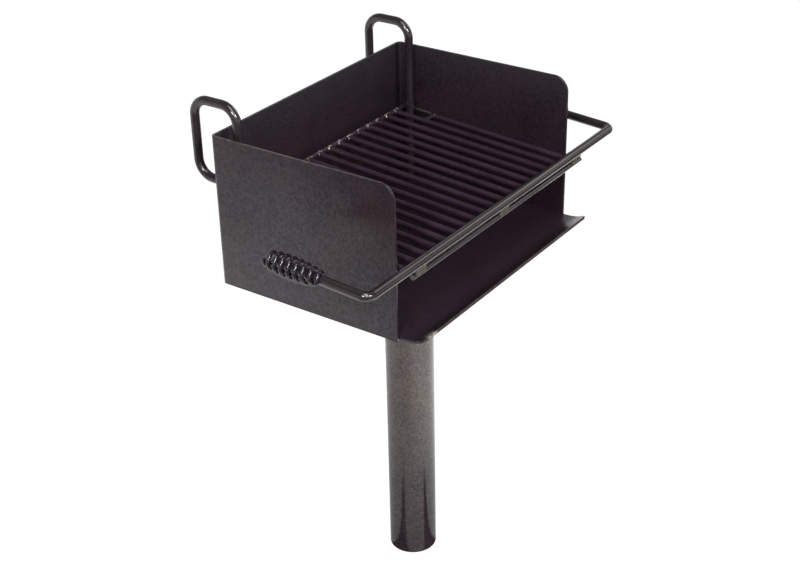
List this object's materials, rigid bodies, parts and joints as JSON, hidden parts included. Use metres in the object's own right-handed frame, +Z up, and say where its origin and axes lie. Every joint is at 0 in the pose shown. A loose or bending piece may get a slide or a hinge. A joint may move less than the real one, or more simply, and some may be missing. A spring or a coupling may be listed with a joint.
{
  "type": "pedestal grill",
  "caption": "Open-fronted steel firebox that swivels on a pipe post, with a bar grate that slides on hooped guide rods and is lifted by a U-shaped handle with coil grips.",
  "frame": {"origin": "centre of the post's lower end, on the post's axis", "axes": "+Z up along the post, -Y out of the firebox's open front, +X to the right seen from the front"},
  "size_m": [0.798, 0.4716, 0.9661],
  "materials": {
    "post_paint": "semi-gloss",
    "plate_paint": "satin",
    "rod_paint": "gloss",
    "screw_steel": "plain"
  },
  "bodies": {
    "post": {"post": "post_paint", "retaining_screw": "screw_steel"},
    "firebox": {"swivel_stub": "post_paint", "bearing_plate": "plate_paint", "floor_plate": "plate_paint", "firebox_shell": "plate_paint", "guide_rod_left": "rod_paint", "guide_rod_right": "rod_paint"},
    "grate": {"front_rod": "rod_paint", "rear_rod": "rod_paint", "eye_rod_left": "rod_paint", "eye_rod_right": "rod_paint", "handle_bar": "rod_paint", "handle_lug_left": "rod_paint", "handle_lug_middle": "rod_paint", "handle_lug_right": "rod_paint", "coil_grip_left": "rod_paint", "coil_grip_right": "rod_paint", "grate_bar_1": "rod_paint", "grate_bar_2": "rod_paint", "grate_bar_3": "rod_paint", "grate_bar_4": "rod_paint", "grate_bar_5": "rod_paint", "grate_bar_6": "rod_paint", "grate_bar_7": "rod_paint", "grate_bar_8": "rod_paint", "grate_bar_9": "rod_paint", "grate_bar_10": "rod_paint", "grate_bar_11": "rod_paint", "grate_bar_12": "rod_paint", "grate_bar_13": "rod_paint", "grate_bar_14": "rod_paint", "grate_bar_15": "rod_paint", "grate_bar_16": "rod_paint", "grate_bar_17": "rod_paint", "grate_bar_18": "rod_paint"}
  },
  "joints": [
    {"name": "firebox_swivel", "type": "hinge", "parent": "post", "child": "firebox", "pos_m": [0, 0, 0.63], "axis": [0, 0, 1], "continuous": true},
    {"name": "grate_slide", "type": "slide", "parent": "firebox", "child": "grate", "axis": [0, 0, 1], "range_m": [-0.09, 0.14]}
  ]
}
